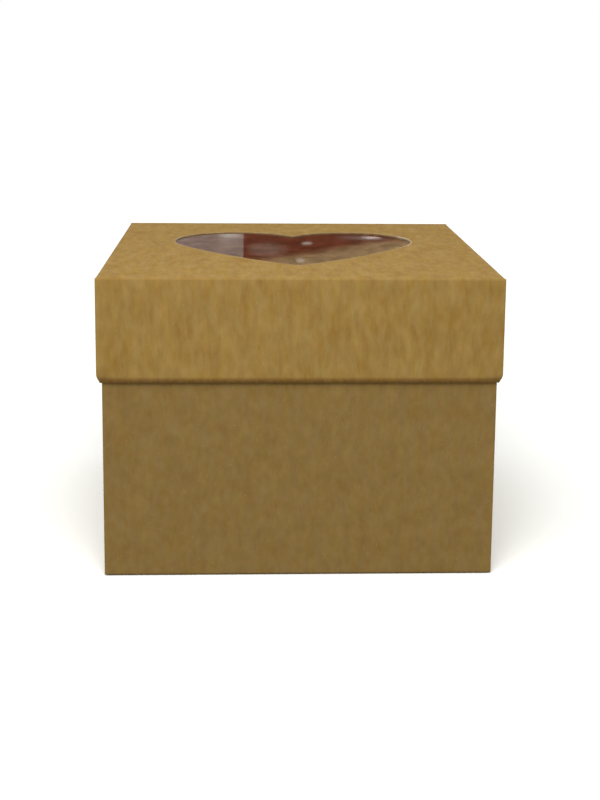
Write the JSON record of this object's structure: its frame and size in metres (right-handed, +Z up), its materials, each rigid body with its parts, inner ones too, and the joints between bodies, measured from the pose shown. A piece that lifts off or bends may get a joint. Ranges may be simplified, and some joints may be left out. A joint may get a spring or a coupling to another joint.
{
  "type": "gift box",
  "caption": "Square kraft board gift box with a lift-off lid whose top has a heart-shaped window behind clear film.",
  "frame": {"origin": "middle of the box's underside, on the surface it stands on", "axes": "+Z up, the way the lid lifts off; front faces -Y, towards the tip of the heart; +X to the viewer's right"},
  "size_m": [0.2, 0.2, 0.152],
  "materials": {
    "kraft_lid": "matte, unbleached brown kraft with fine fibre streaks",
    "kraft_base": "matte, unbleached brown kraft, a little darker",
    "clear_film": "clear glossy film",
    "dry_glue": "dried translucent glue"
  },
  "bodies": {
    "base": {"base_back_left_flap": "kraft_base", "base_back_lining": "kraft_base", "base_back_right_flap": "kraft_base", "base_back_wall": "kraft_base", "base_floor": "kraft_base", "base_front_left_flap": "kraft_base", "base_front_lining": "kraft_base", "base_front_right_flap": "kraft_base", "base_front_wall": "kraft_base", "base_left_lining": "kraft_base", "base_left_wall": "kraft_base", "base_right_lining": "kraft_base", "base_right_wall": "kraft_base"},
    "lid": {"lid_back_left_flap": "kraft_lid", "lid_back_lining": "kraft_lid", "lid_back_right_flap": "kraft_lid", "lid_back_wall": "kraft_lid", "lid_front_left_flap": "kraft_lid", "lid_front_lining": "kraft_lid", "lid_front_right_flap": "kraft_lid", "lid_front_wall": "kraft_lid", "lid_left_lining": "kraft_lid", "lid_left_wall": "kraft_lid", "lid_right_lining": "kraft_lid", "lid_right_wall": "kraft_lid", "lid_top_panel": "kraft_lid", "window_film": "clear_film", "window_glue": "dry_glue"}
  },
  "joints": [
    {"name": "lid_lift", "type": "slide", "parent": "base", "child": "lid", "axis": [0, 0, 1], "range_m": [0, 0.1]}
  ]
}
